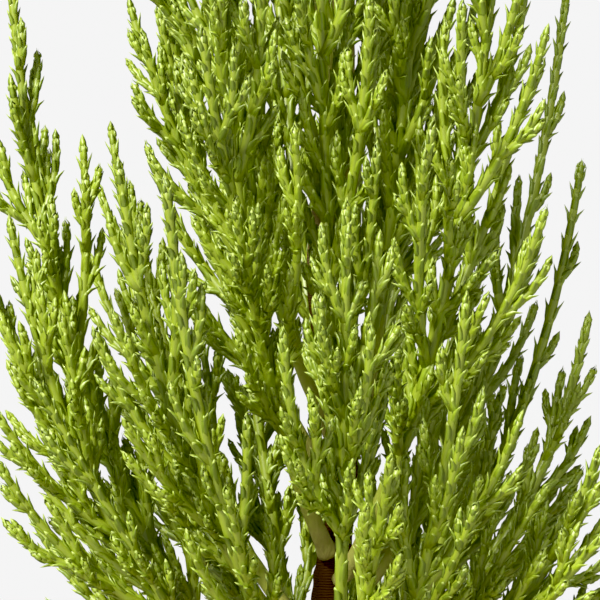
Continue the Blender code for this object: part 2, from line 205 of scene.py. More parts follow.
# %% Sizes of the limbs
GAP = 0.0003
POT_HEIGHT = 0.080
SOIL_TOP = 0.0705
SOIL_CROWN = 0.0012
TRUNK_FOOT = SOIL_TOP + SOIL_CROWN + GAP
TRUNK_TIP = 0.262
TRUNK_FOOT_RADIUS = 0.0026
TRUNK_TIP_RADIUS = 0.0009
TRUNK_FLARE = 0.0019
TRUNK_FLARE_HEIGHT = 0.005
TRUNK_SWAY = 0.0019
TRUNK_SWAY_LENGTH = 0.060
TRUNK_SWAY_START = 0.043
TRUNK_SWAY_RISE = 0.030
TRUNK_SWAY_DEPTH = 0.5
TRUNK_SWAY_STRETCH = 1.4
TRUNK_CROWDING = 1.6
TIERS = (
    {"name": "low", "count": 10, "skip": 3, "first_turn": 273,
     "foot": (0.081, 0.096), "reach": (0.049, 0.054), "tip": (0.146, 0.168)},
    {"name": "middle", "count": 8, "skip": 3, "first_turn": 215,
     "foot": (0.099, 0.116), "reach": (0.040, 0.046), "tip": (0.178, 0.200)},
    {"name": "upper", "count": 6, "skip": 5, "first_turn": 222,
     "foot": (0.124, 0.146), "reach": (0.027, 0.033), "tip": (0.216, 0.240)},
    {"name": "high", "count": 4, "skip": 1, "first_turn": 285,
     "foot": (0.158, 0.196), "reach": (0.012, 0.017), "tip": (0.250, 0.276)},
)
TURN_JITTER = 8
KNEE_REACH = 0.78
KNEE_RISE = 0.30
OWN_PLACES = {
    "low_1": {"turn": 272, "reach": 0.046, "tip": 0.168, "foot": 0.079, "fullness": 1.25},
    "low_2": {"turn": 297, "reach": 0.041, "tip": 0.155},
    "low_3": {"turn": 334, "reach": 0.043, "tip": 0.133, "foot": 0.092, "fullness": 1.15},
    "low_4": {"turn": 20, "reach": 0.042, "tip": 0.152, "foot": 0.0945},
    "low_5": {"turn": 64, "reach": 0.052, "tip": 0.153, "foot": 0.085, "fullness": 1.25},
    "low_6": {"turn": 108, "reach": 0.0465, "tip": 0.173, "foot": 0.0895, "fullness": 1.25},
    "low_8": {"turn": 160, "reach": 0.0485, "tip": 0.1455, "foot": 0.080, "fullness": 0.9},
    "low_9": {"turn": 200, "reach": 0.050, "tip": 0.166, "foot": 0.088, "fullness": 1.1},
    "low_10": {"turn": 245, "reach": 0.055, "tip": 0.171, "foot": 0.0925, "fullness": 0.55},
    "middle_1": {"turn": 228, "reach": 0.0455, "tip": 0.174, "foot": 0.101, "fullness": 1.1},
    "middle_2": {"turn": 243, "reach": 0.0385, "tip": 0.2125, "foot": 0.118, "fullness": 1.25},
    "middle_3": {"turn": 307, "reach": 0.040, "tip": 0.217},
    "middle_4": {"turn": 350, "reach": 0.0375, "tip": 0.175, "foot": 0.0985, "fullness": 0.45},
    "middle_5": {"turn": 36, "reach": 0.0455, "tip": 0.202, "foot": 0.108, "fullness": 0.5},
    "middle_7": {"turn": 140, "reach": 0.045, "tip": 0.182, "foot": 0.105, "fullness": 0.95},
    "middle_8": {"turn": 185, "reach": 0.048, "tip": 0.2015, "foot": 0.0935, "fullness": 1.1,
                 "knee_reach": 0.84, "knee_rise": 0.19},
    "upper_1": {"turn": 236, "reach": 0.0355, "tip": 0.2325, "foot": 0.136, "fullness": 1.25},
    "upper_2": {"turn": 266, "reach": 0.028, "tip": 0.228, "foot": 0.127},
    "upper_3": {"turn": 309, "reach": 0.023, "tip": 0.250, "foot": 0.1355},
    "upper_4": {"turn": 53, "reach": 0.0225, "tip": 0.2235, "foot": 0.139, "fullness": 1.15},
    "upper_6": {"turn": 158, "reach": 0.0295, "tip": 0.2225, "foot": 0.129, "fullness": 0.9},
}
BOUGH_SHARE = 0.22
BOUGH_FOOT_RADIUS = 0.00125
BARE_TRUNK = (0.1090, 0.1185)
BARE_TRUNK_SIDE = 0.0021
CROWN_TOP = 0.308
CROWN_REACH = 0.0550
CROWN_FOOT = 0.084
UP = np.array([0.0, 0.0, 1.0])
AHEAD = np.array([1.0, 0.0, 0.0])


# %% Lines of the trunk and the boughs
def mix(low, high, share):
    """The value that lies a share of the way from low to high."""
    return low + (high - low) * share


def unit(vectors):
    """The vectors at length one."""
    return vectors / np.linalg.norm(vectors, axis=-1, keepdims=True)


def trunk_centre(height):
    """Points on the trunk's middle line: a sine whose width grows from nothing at the soil."""
    rise = height - TRUNK_FOOT
    growth = TRUNK_SWAY * (1 - np.exp(-((rise / TRUNK_SWAY_RISE) ** 2)))
    across = growth * np.sin(2 * math.pi * (rise - TRUNK_SWAY_START) / TRUNK_SWAY_LENGTH)
    away = np.sin(2 * math.pi * rise / (TRUNK_SWAY_STRETCH * TRUNK_SWAY_LENGTH))
    return np.stack([across, growth * TRUNK_SWAY_DEPTH * away, height + 0 * rise], axis=-1)


def trunk_radius(height):
    """Trunk's radius: an even taper, and a root flare that fades upwards."""
    rise = height - TRUNK_FOOT
    taper = mix(TRUNK_FOOT_RADIUS, TRUNK_TIP_RADIUS, rise / (TRUNK_TIP - TRUNK_FOOT))
    return taper + TRUNK_FLARE * np.exp(-rise / TRUNK_FLARE_HEIGHT)


def trunk_heights(count):
    """Heights up the trunk, closer together in the root flare."""
    return TRUNK_FOOT + (TRUNK_TIP - TRUNK_FOOT) * np.linspace(0, 1, count) ** TRUNK_CROWDING


def point_on(curve, share):
    """Quadratic curve: root, knee and tip weighed by (1-s)^2, 2s(1-s) and s^2."""
    root, knee, tip = curve
    share = np.asarray(share, dtype=float)[..., None]
    return root * (1 - share) ** 2 + 2 * knee * share * (1 - share) + tip * share ** 2


def heading(curve, share):
    """Unit direction of the curve: its two legs mixed by the share."""
    root, knee, tip = curve
    share = np.asarray(share, dtype=float)[..., None]
    return unit(mix(knee - root, tip - knee, share))


def part_of(curve, start, end):
    """The stretch of a quadratic curve between two shares, as a curve of its own."""
    root, knee, tip = curve
    middle = mix(mix(root, knee, start), mix(knee, tip, start), end)
    return (point_on(curve, start), middle, point_on(curve, end))


def curve_length(curve):
    """Length of the curve's two legs, a little more than its own."""
    root, knee, tip = curve
    return float(np.linalg.norm(knee - root) + np.linalg.norm(tip - knee))


def plume_places():
    """Turn, foot, reach, tip, knee and fullness of every plume on a bough, by its name."""
    places = {}
    for tier in TIERS:
        for index in range(tier["count"]):
            name = f"{tier['name']}_{index + 1}"
            dice = random.Random(name)
            order = index * tier["skip"] % tier["count"] / (tier["count"] - 1)
            turn = tier["first_turn"] + index * 360 / tier["count"]
            places[name] = {
                "turn": turn + dice.uniform(-TURN_JITTER, TURN_JITTER),
                "foot": mix(*tier["foot"], order),
                "reach": mix(*tier["reach"], dice.random()),
                "tip": mix(*tier["tip"], dice.random()),
                "knee_reach": KNEE_REACH,
                "knee_rise": KNEE_RISE,
                "fullness": 1.0,
            }
            places[name].update(OWN_PLACES.get(name, {}))
    return places


def plume_curve(place):
    """The line of a bough and its plume's stem, from the trunk's bark to the plume's tip."""
    turn = math.radians(place["turn"])
    out = np.array([math.cos(turn), math.sin(turn), 0.0])
    foot = place["foot"]
    centre = trunk_centre(foot)
    knee = out * place["reach"] * place["knee_reach"]
    knee[2] = mix(foot, place["tip"], place["knee_rise"])
    end = out * place["reach"]
    end[2] = place["tip"]
    slant = unit(knee - centre)[2]
    start = centre + out * (trunk_radius(foot) + GAP + BOUGH_FOOT_RADIUS * slant)
    return (start, knee, end)


def leader_curve():
    """The line of the plume that goes on from the trunk's tip."""
    start = trunk_centre(TRUNK_TIP)
    start[2] += GAP
    end = np.array([start[0], start[1], CROWN_TOP])
    return (start, (start + end) / 2, end)


PLACES = plume_places()
LINES = {name: plume_curve(place) for name, place in PLACES.items()}
LINES["leader"] = leader_curve()
print(len(LINES), "plumes, tallest tip", max(line[2][2] for line in LINES.values()))

# %% [markdown]
# ## How the foliage grows
# A cypress branches in opposite pairs, and each pair stands a quarter turn from the
# last. Side shoots leave their parent at a narrow angle and bend round until they run
# beside it, which is why the crown looks like a sheaf of upright plumes. The rule
# here is the solids' own, with shorter steps, a slightly wider bend and one finer
# order of shoots. A shoot stops where it would leave its plume's room or crowd
# another shoot.

# %% The growth rule
SHOOT_KNEE = 0.44
SHOOT_UPRIGHT = (0.10, 0.40)
SHOOT_SPREAD = (0.03, 0.16)
SHOOT_LENGTHS = (0.60, 1.00)
SHOOT_REACHES = (0.75, 1.10)
SHOOT_TWIST = 0.2
STEP_SPREAD = (0.9, 1.1)
SHOOT_POINTS = 12
ROOT_POINTS = 4
AXIS_POINTS = 32
FAR_AWAY = np.ones((1, 3))
RULES = (
    {"order": 1, "parents": (0,), "step": 0.0085, "first": 0.0045, "bare": 0.0120,
     "longest": 0.0500, "shortest": 0.0080, "reach": 0.70, "lift": (25, 36), "girth": 0.0010,
     "spacing": 0.0042},
    {"order": 2, "parents": (0, 1), "step": 0.0064, "first": 0.0050, "bare": 0.0055,
     "longest": 0.0135, "shortest": 0.0045, "reach": 0.74, "lift": (27, 38), "girth": 0.0008,
     "spacing": 0.0030},
    {"order": 3, "parents": (2,), "step": 0.0055, "first": 0.0045, "bare": 0.0036,
     "longest": 0.0055, "shortest": 0.0032, "reach": 0.80, "lift": (27, 38), "girth": 0.0006,
     "spacing": 0.0026},
)


class Crown:
    """The room of every plume, measured against all the other limbs."""

    def __init__(self, lines):
        shares = np.linspace(0, 1, AXIS_POINTS)
        self.names = list(lines)
        self.lines = np.array([point_on(line, shares) for line in lines.values()])
        heights = trunk_heights(2 * AXIS_POINTS)
        self.trunk = trunk_centre(heights)
        self.trunk_radii = trunk_radius(heights)

    def roomy(self, name, points, girth):
        """Which of the points lie nearer to the plume's own line than to any other limb."""
        index = self.names.index(name)
        away = np.linalg.norm(points[:, None, None] - self.lines, axis=-1).min(axis=2)
        other = np.delete(away, index, axis=1).min(axis=1)
        trunk = np.linalg.norm(points[:, None] - self.trunk, axis=-1) - self.trunk_radii
        free = other - away[:, index] > 2 * girth + GAP
        free &= other > BOUGH_FOOT_RADIUS + girth + GAP
        free &= trunk.min(axis=1) > girth + 2 * GAP
        free &= np.hypot(points[:, 0], points[:, 1]) < CROWN_REACH - girth
        before = points[:, 1] < 0
        before &= (points[:, 2] > BARE_TRUNK[0]) & (points[:, 2] < BARE_TRUNK[1])
        before &= np.abs(points[:, 0] - trunk_centre(points[:, 2])[:, 0]) < BARE_TRUNK_SIDE + girth
        return free & ~before & (points[:, 2] > CROWN_FOOT) & (points[:, 2] < CROWN_TOP)


def free_share(free):
    """The share of a row of points that comes before the first one without room."""
    if free.all():
        return 1.0
    return max(int(np.argmin(free)) - 1, 0) / (len(free) - 1)


def side_curve(parent, share, spin, lift, length, dice):
    """A shoot that leaves its parent at an angle and bends round to run beside it."""
    root = point_on(parent, share)
    along = heading(parent, share)
    across = unit(np.cross(along, AHEAD))
    out = across * math.cos(spin) + np.cross(along, across) * math.sin(spin)
    leave = along * math.cos(lift) + out * math.sin(lift)
    run = mix(along, UP, dice.uniform(*SHOOT_UPRIGHT))
    run = unit(run + out * dice.uniform(*SHOOT_SPREAD))
    knee = root + leave * length * SHOOT_KNEE
    return (root, knee, knee + run * length * (1 - SHOOT_KNEE))


def grow_plume(crown, name):
    """All the shoots of a plume as rows of order, curve and the spray they belong to."""
    line = LINES[name]
    shoots = [(0, part_of(line, 0 if name == "leader" else BOUGH_SHARE, 1), 0)]
    fullness = PLACES[name]["fullness"] if name in PLACES else 1.0
    shares = np.linspace(0, 1, SHOOT_POINTS)
    taken = [point_on(shoots[0][1], shares)]
    for rule in RULES:
        for parent in range(len(shoots)):
            order, curve, spray = shoots[parent]
            whole = curve_length(curve)
            dice = random.Random(f"{name} {rule['order']} {parent}")
            spin = dice.uniform(0, math.pi)
            place = rule["first"]
            while place < whole - rule["bare"] and order in rule["parents"]:
                for side in (0, math.pi):
                    longest = rule["longest"] * dice.uniform(*SHOOT_LENGTHS)
                    reach = rule["reach"] * (whole - place) * dice.uniform(*SHOOT_REACHES)
                    length = fullness * min(longest, reach)
                    lift = math.radians(dice.uniform(*rule["lift"]))
                    turn = spin + side + dice.uniform(-SHOOT_TWIST, SHOOT_TWIST)
                    shoot = side_curve(curve, place / whole, turn, lift, length, dice)
                    points = point_on(shoot, shares)
                    share = free_share(crown.roomy(name, points, rule["girth"]))
                    others = np.concatenate([FAR_AWAY, *taken[:parent], *taken[parent + 1:]])
                    away = np.linalg.norm(points[:, None] - others, axis=-1).min(axis=1)
                    away[:ROOT_POINTS] = math.inf
                    share = min(share, free_share(away > rule["spacing"]))
                    if length * share > rule["shortest"]:
                        own = len(shoots) if rule["order"] == 1 else spray
                        shoots.append((rule["order"], part_of(shoot, 0, share), own))
                        taken.append(points[ROOT_POINTS:int(share * SHOOT_POINTS)])
                spin += math.pi / 2
                place += rule["step"] * dice.uniform(*STEP_SPREAD)
    return shoots


crown = Crown(LINES)
PLUMES = {name: grow_plume(crown, name) for name in LINES}
counts = np.bincount([row[0] for rows in PLUMES.values() for row in rows])
print("stems, twigs, sprays and tips", counts, "in", round(time.time() - STARTED, 1), "s")

# %% [markdown]
# ## Shader node groups
# Effects that several materials share are node groups with named inputs and outputs.
# `mottle` mixes a colour towards another over the piece with one noise.

# %% Shared shading
def node_group(name, inputs, outputs):
    """An empty shader node group with the named sockets."""
    group = bpy.data.node_groups.new(name, "ShaderNodeTree")
    for socket, kind, default in inputs:
        made = group.interface.new_socket(socket, in_out="INPUT", socket_type=kind)
        if default is not None:
            made.default_value = default
    for socket, kind in outputs:
        group.interface.new_socket(socket, in_out="OUTPUT", socket_type=kind)
    return group, group.nodes.new("NodeGroupInput"), group.nodes.new("NodeGroupOutput")


def mottle_group():
    """Colour mixed towards the other colour by noise, and the noise as a height."""
    colour, number, vector = "NodeSocketColor", "NodeSocketFloat", "NodeSocketVector"
    group, given, made = node_group(
        "mottle",
        [("Colour", colour, (1, 1, 1, 1)), ("Other", colour, (1, 1, 1, 1)), ("Scale", number, 400.0),
         ("Amount", number, 0.2), ("Vector", vector, None)],
        [("Colour", colour), ("Height", number)])
    nodes, links = group.nodes, group.links
    coarse = nodes.new("ShaderNodeTexNoise")
    coarse.inputs["Detail"].default_value = 4.0
    links.new(given.outputs["Scale"], coarse.inputs["Scale"])
    links.new(given.outputs["Vector"], coarse.inputs["Vector"])
    spread = nodes.new("ShaderNodeMapRange")
    spread.inputs["From Min"].default_value = 0.3
    spread.inputs["From Max"].default_value = 0.7
    links.new(coarse.outputs["Fac"], spread.inputs["Value"])
    share = nodes.new("ShaderNodeMath")
    share.operation = "MULTIPLY"
    links.new(spread.outputs["Result"], share.inputs[0])
    links.new(given.outputs["Amount"], share.inputs[1])
    blend = nodes.new("ShaderNodeMix")
    blend.data_type = "RGBA"
    links.new(share.outputs[0], blend.inputs["Factor"])
    links.new(given.outputs["Colour"], blend.inputs["A"])
    links.new(given.outputs["Other"], blend.inputs["B"])
    links.new(blend.outputs["Result"], made.inputs["Colour"])
    links.new(coarse.outputs["Fac"], made.inputs["Height"])
    return group


MOTTLE = mottle_group()


def new_material(name, roughness, specular=0.5):
    """A material with its Principled shader's roughness and specular level set."""
    material = bpy.data.materials.new(name)
    material.use_nodes = True
    nodes = material.node_tree.nodes
    shader = nodes["Principled BSDF"]
    shader.inputs["Roughness"].default_value = roughness
    shader.inputs["Specular IOR Level"].default_value = specular
    return material, nodes, material.node_tree.links, shader


def add_mottle(nodes, links, colour, other, scale, amount):
    """Place the mottle group on object coordinates and return its node."""
    place = nodes.new("ShaderNodeTexCoord")
    node = nodes.new("ShaderNodeGroup")
    node.node_tree = MOTTLE
    node.inputs["Colour"].default_value = (*colour, 1)
    node.inputs["Other"].default_value = (*other, 1)
    node.inputs["Scale"].default_value = scale
    node.inputs["Amount"].default_value = amount
    links.new(place.outputs["Object"], node.inputs["Vector"])
    return node


# %% [markdown]
# ## Greens
# The juvenile needles are a fresh yellow green, with hardly any blue in it. Each spray
# takes one of a few plain greens, dealt out by a seeded draw. The free point of every
# needle takes a paler green, partly the tips' own colour and partly a painted highlight
# that whitens them. The shader adds a soft waxy gleam and a slow mottle.

# %% Needle and shoot materials
GREENS = (
    ("needle_lime", (0.330, 0.450, 0.010)),
    ("needle_fresh", (0.285, 0.400, 0.007)),
    ("needle_leaf", (0.240, 0.345, 0.005)),
    ("needle_olive", (0.195, 0.285, 0.004)),
)
# The needles' free points: their own paler green, and partly painted highlight as well.
TIP_GREEN_AND_HIGHLIGHT = (0.400, 0.510, 0.060)
SHOOT_GREEN = (0.310, 0.400, 0.010)
DEEPER = 0.72
LEAF_IOR = 1.6


def leaf_material(name, colour, roughness):
    """A waxy leaf: plain colour with a slow mottle towards a deeper tone of itself."""
    material, nodes, links, shader = new_material(name, roughness, 1.0)
    shader.inputs["IOR"].default_value = LEAF_IOR
    deeper = [value * DEEPER for value in colour]
    tone = add_mottle(nodes, links, colour, deeper, 260.0, 0.6)
    links.new(tone.outputs["Colour"], shader.inputs["Base Color"])
    return material


NEEDLE_MATERIALS = [leaf_material(name, colour, 0.50) for name, colour in GREENS]
NEEDLE_MATERIALS.append(leaf_material("needle_tip_and_highlight", TIP_GREEN_AND_HIGHLIGHT, 0.60))
SHOOT_MATERIAL = leaf_material("green_shoot", SHOOT_GREEN, 0.5)
print(len(GREENS), "needle greens and one for their tips")

# %% [markdown]
# ## Shoots and needles
# Every shoot is a slim six-sided tube. Needles sit on it in opposite pairs, again a
# quarter turn apart: each is a closed awl whose base runs down the shoot to the pair
# below and whose tip stands free. Towards a shoot's end the pairs crowd together and
# point upwards, which gives the blunt heads of this foliage. All the needles of one
# plume are worked out at once, as arrays of places, directions and sizes.

# %% Sizes of shoots and needles
RING_STEP = 0.0025
RING_SIDES = 6
ROOT_RADII = np.array([0.00115, 0.00088, 0.00072, 0.00062])
TIP_RADII = np.array([0.00060, 0.00056, 0.00052, 0.00048])
INTERNODES = np.array([0.0056, 0.0038, 0.0021, 0.0018])
NEEDLE_LENGTHS = np.array([0.00185, 0.00175, 0.00155, 0.00140])
TIP_STEP = 0.00050
TIP_STEP_GROWTH = 0.00020
TIP_START = 0.00010
NODES_MOST = 60
NEEDLE_LIFT = (14.0, 36.0)


def stack_curves(rows):
    """Orders and curve points of the rows, as arrays."""
    orders = np.array([row[0] for row in rows])
    curves = np.array([row[1] for row in rows]).transpose(1, 0, 2)
    lengths = np.linalg.norm(curves[1] - curves[0], axis=1) + np.linalg.norm(curves[2] - curves[1], axis=1)
    return orders, curves, lengths


def spread_counts(counts):
    """For items with so many parts each: every part's item, and its number in the item."""
    item = np.repeat(np.arange(len(counts)), counts)
    first = np.repeat(np.cumsum(counts) - counts, counts)
    return item, np.arange(len(item)) - first


def side_frame(along):
    """Two directions square to each heading."""
    across = unit(np.cross(along, AHEAD))
    return across, np.cross(along, across)


def shoot_surface(orders, curves, lengths):
    """Tubes along the curves: rings at even shares, closed by a point at each end."""
    counts = np.maximum(np.ceil(lengths / RING_STEP).astype(int), 2) + 1
    item, number = spread_counts(counts)
    share = number / (counts[item] - 1)
    own = tuple(curve[item] for curve in curves)
    centre = point_on(own, share)
    across, other = side_frame(heading(own, share))
    radius = mix(ROOT_RADII[orders[item]], TIP_RADII[orders[item]], share)
    angle = 2 * math.pi * np.arange(RING_SIDES) / RING_SIDES
    rim = across[:, None] * np.cos(angle)[:, None] + other[:, None] * np.sin(angle)[:, None]
    rings = centre[:, None] + rim * radius[:, None, None]
    points = np.concatenate([rings.reshape(-1, 3), curves[0], curves[2]])
    ring = np.arange(len(item))
    joined = ring[:-1][item[1:] == item[:-1]]
    side = np.arange(RING_SIDES)
    turn = (side + 1) % RING_SIDES
    low = joined[:, None] * RING_SIDES
    quads = np.stack([low + side, low + turn, low + turn + RING_SIDES, low + side + RING_SIDES], axis=-1)
    quads = quads.reshape(-1, 4)
    last = np.cumsum(counts) - 1
    first = last - counts + 1
    count = len(counts)
    foot = len(item) * RING_SIDES + np.arange(count)[:, None] + 0 * side
    root_fans = np.stack([foot, first[:, None] * RING_SIDES + turn, first[:, None] * RING_SIDES + side], axis=-1)
    tip_fans = np.stack([foot + count, last[:, None] * RING_SIDES + side, last[:, None] * RING_SIDES + turn], axis=-1)
    halves = np.concatenate([quads[:, [0, 1, 2]], quads[:, [0, 2, 3]]])
    return points, np.concatenate([halves, root_fans.reshape(-1, 3), tip_fans.reshape(-1, 3)])


def needle_surface(orders, curves, lengths, sprays, dice):
    """Pairs of closed awls along the curves.

    Distances from a shoot's tip are the running sum of steps that grow from TIP_STEP to
    the shoot's internode. A needle has eleven points in a local frame of along the
    shoot, out from it and sideways: a buried root one step below, three keeled rings
    of three points that narrow as the needle parts from the shoot, and the free tip.
    The last three faces of each take the pale tip green, which is partly painted highlight.
    """
    steps = np.minimum(INTERNODES[:, None], TIP_STEP + TIP_STEP_GROWTH * np.arange(NODES_MOST))
    table = TIP_START + np.cumsum(steps, axis=1) - steps[:, :1]
    stretch = dice.uniform(0.88, 1.12, len(lengths))
    counts = ((table[orders] * stretch[:, None]) < (lengths - 0.0004)[:, None]).sum(axis=1)
    item, number = spread_counts(counts)
    step = steps[orders[item], number] * stretch[item]
    share = 1 - table[orders[item], number] * stretch[item] / lengths[item]
    own = tuple(curve[item] for curve in curves)
    centre = point_on(own, share)
    along = heading(own, share)
    across, other = side_frame(along)
    radius = mix(ROOT_RADII[orders[item]], TIP_RADII[orders[item]], share)
    phase = dice.uniform(0, 2 * math.pi, len(lengths))[item] + number * math.pi / 2
    young = np.minimum(0.80 + 0.06 * number, 1.0)
    grown = np.minimum(0.25 + 0.25 * number, 1.0)
    parts = []
    for side in (0, math.pi):
        wobble = dice.normal(0, 0.13, len(item))
        angle = phase + side + wobble
        out = across * np.cos(angle)[:, None] + other * np.sin(angle)[:, None]
        sideways = np.cross(along, out)
        length = NEEDLE_LENGTHS[orders[item]] * young * dice.uniform(0.82, 1.18, len(item))
        lift = np.radians(mix(*NEEDLE_LIFT, dice.random(len(item))) * np.minimum(0.05 + 0.22 * number, 1))
        closed = np.minimum(0.15 + 0.28 * number, 1)
        base = step * 1.05
        rise = length * np.cos(lift)
        flare = length * np.sin(lift)
        none = np.zeros_like(radius)
        local = [
            (-base, radius * 0.6, none),
            (-0.38 * base, radius + 0.00012, none),
            (-0.38 * base, radius * 0.60, radius * 0.86),
            (-0.38 * base, radius * 0.60, -radius * 0.86),
            (0.18 * rise, radius + 0.00020 * grown + 0.14 * flare, none),
            (0.18 * rise, radius * 0.66 + 0.00004 + 0.08 * flare, radius * 0.56 + 0.00014),
            (0.18 * rise, radius * 0.66 + 0.00004 + 0.08 * flare, -radius * 0.56 - 0.00014),
            (0.60 * rise, closed * (radius + 0.00018) + 0.52 * flare, none),
            (0.60 * rise, closed * (radius - 0.00002) + 0.48 * flare, radius * 0.32 + 0.00012),
            (0.60 * rise, closed * (radius - 0.00002) + 0.48 * flare, -radius * 0.32 - 0.00012),
            (rise, closed * (radius + 0.00004) + 0.92 * flare, none),
        ]
        points = [centre + along * a[:, None] + out * o[:, None] + sideways * s[:, None] for a, o, s in local]
        parts.append(np.stack(points, axis=1))
    points = np.concatenate(parts)
    faces = [(0, 2, 1), (0, 1, 3), (0, 3, 2)]
    for ring in (1, 4):
        keel, left, right = ring, ring + 1, ring + 2
        faces += [(keel, left, left + 3), (keel, left + 3, keel + 3), (right, keel, keel + 3),
                  (right, keel + 3, right + 3), (left, right, right + 3), (left, right + 3, left + 3)]
    faces = np.array(faces + [(7, 8, 10), (9, 7, 10), (8, 9, 10)])
    count = len(faces)
    faces = (np.arange(len(points))[:, None, None] * 11 + faces).reshape(-1, 3)
    slots = np.repeat(np.concatenate([sprays[item], sprays[item]])[:, None], count, axis=1)
    # The free point of every needle takes the pale tip green, partly a painted highlight.
    slots[:, -3:] = len(GREENS)
    return points.reshape(-1, 3), faces, slots.ravel()


# %% Grow the pieces of every plume
def add_plume(name, rows, seed):
    """The shoots and the needles of one plume, each kind one piece."""
    dice = np.random.default_rng(seed)
    orders, curves, lengths = stack_curves(rows)
    tones = dice.choice(len(GREENS), size=len(rows), p=(0.25, 0.35, 0.27, 0.13))
    sprays = tones[np.array([row[2] for row in rows])]
    points, faces = shoot_surface(orders, curves, lengths)
    shoots = add_mesh(f"shoots_{name}", points, faces, [SHOOT_MATERIAL])
    points, faces, slots = needle_surface(orders, curves, lengths, sprays, dice)
    needles = add_mesh(f"needles_{name}", points, faces, NEEDLE_MATERIALS, slots)
    for piece in (shoots, needles):
        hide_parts(f"plume_{name}")
        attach(piece, BODY)
    return len(shoots.data.polygons), len(needles.data.polygons)


totals = np.array([add_plume(name, rows, index) for index, (name, rows) in enumerate(PLUMES.items())])
print("triangles of shoots and needles", totals.sum(axis=0), "most in a piece", totals.max(axis=0))
print("after", round(time.time() - STARTED, 1), "s")

# %% [markdown]
# ## Bark
# The trunk is brown, with fine rings across it and long ridges of fibre. Higher up, and
# on the boughs, the bark is still smooth and tan green: a number called age, kept on
# every point, chooses the colour. One function makes every limb: a
# ring of points carried along the limb's line, whose radius takes ridges along the
# limb, soft swellings at its joints and a little noise from summed sines. The finest
# rings are left to the shader's bump.

# %% Bark material
BARK_AGES = (
    (0.00, (0.270, 0.330, 0.025)),
    (0.30, (0.290, 0.270, 0.070)),
    (0.55, (0.190, 0.140, 0.045)),
    (0.70, (0.095, 0.038, 0.010)),
    (0.85, (0.070, 0.026, 0.007)),
    (1.00, (0.035, 0.014, 0.005)),
)
AGE_SPREAD = 0.34
RINGS_APART = 0.0004
FIBRE_SCALE = 1500.0
FIBRE_STRETCH = (1.0, 1.0, 0.08)


def relief_group():
    """Height from fine rings across Z, and from fibres: noise drawn out along Z."""
    number, vector = "NodeSocketFloat", "NodeSocketVector"
    group, given, made = node_group(
        "bark_relief", [("Vector", vector, None), ("Rings", number, 0.5)],
        [("Height", number), ("Fibres", number)])
    nodes, links = group.nodes, group.links
    rings = nodes.new("ShaderNodeTexWave")
    rings.wave_type = "BANDS"
    rings.bands_direction = "Z"
    rings.inputs["Scale"].default_value = math.pi / 10 / RINGS_APART
    rings.inputs["Distortion"].default_value = 1.5
    rings.inputs["Detail"].default_value = 1.0
    links.new(given.outputs["Vector"], rings.inputs["Vector"])
    stretch = nodes.new("ShaderNodeVectorMath")
    stretch.operation = "MULTIPLY"
    stretch.inputs[1].default_value = FIBRE_STRETCH
    links.new(given.outputs["Vector"], stretch.inputs[0])
    fibres = nodes.new("ShaderNodeTexNoise")
    fibres.inputs["Scale"].default_value = FIBRE_SCALE
    fibres.inputs["Detail"].default_value = 5.0
    links.new(stretch.outputs[0], fibres.inputs["Vector"])
    blend = nodes.new("ShaderNodeMix")
    links.new(given.outputs["Rings"], blend.inputs["Factor"])
    links.new(fibres.outputs["Fac"], blend.inputs["A"])
    links.new(rings.outputs["Fac"], blend.inputs["B"])
    links.new(blend.outputs["Result"], made.inputs["Height"])
    links.new(fibres.outputs["Fac"], made.inputs["Fibres"])
    return group


RELIEF = relief_group()


def bark_material():
    """Bark coloured by its age, a number on every point that fibres shift a little."""
    material, nodes, links, shader = new_material("cypress_bark", 0.75, 0.3)
    age = nodes.new("ShaderNodeAttribute")
    age.attribute_name = "age"
    place = nodes.new("ShaderNodeTexCoord")
    relief = nodes.new("ShaderNodeGroup")
    relief.node_tree = RELIEF
    links.new(place.outputs["Object"], relief.inputs["Vector"])
    ringed = nodes.new("ShaderNodeMapRange")
    ringed.inputs["From Min"].default_value = 0.40
    ringed.inputs["To Max"].default_value = 0.80
    links.new(age.outputs["Fac"], ringed.inputs["Value"])
    links.new(ringed.outputs["Result"], relief.inputs["Rings"])
    shift = nodes.new("ShaderNodeMath")
    shift.operation = "MULTIPLY_ADD"
    shift.inputs[1].default_value = AGE_SPREAD
    shift.inputs[2].default_value = -AGE_SPREAD / 2
    links.new(relief.outputs["Fibres"], shift.inputs[0])
    shifted = nodes.new("ShaderNodeMath")
    links.new(age.outputs["Fac"], shifted.inputs[0])
    links.new(shift.outputs[0], shifted.inputs[1])
    ramp = nodes.new("ShaderNodeValToRGB")
    stops = ramp.color_ramp.elements
    while len(stops) < len(BARK_AGES):
        stops.new(0.5)
    for stop, (position, colour) in zip(stops, BARK_AGES):
        stop.position = position
        stop.color = (*colour, 1)
    links.new(shifted.outputs[0], ramp.inputs["Fac"])
    links.new(ramp.outputs["Color"], shader.inputs["Base Color"])
    bump = nodes.new("ShaderNodeBump")
    bump.inputs["Distance"].default_value = 0.00025
    links.new(relief.outputs["Height"], bump.inputs["Height"])
    links.new(bump.outputs["Normal"], shader.inputs["Normal"])
    return material


BARK = bark_material()

# %% Bark surfaces
BARK_SIDES = 28
TRUNK_ROWS = 420
BOUGH_ROWS = 40
TRUNK_AGES = ((0.120, 0.85), (0.150, 0.72), (0.175, 0.40), (0.262, 0.15))
BOUGH_AGES = (0.32, 0.00)


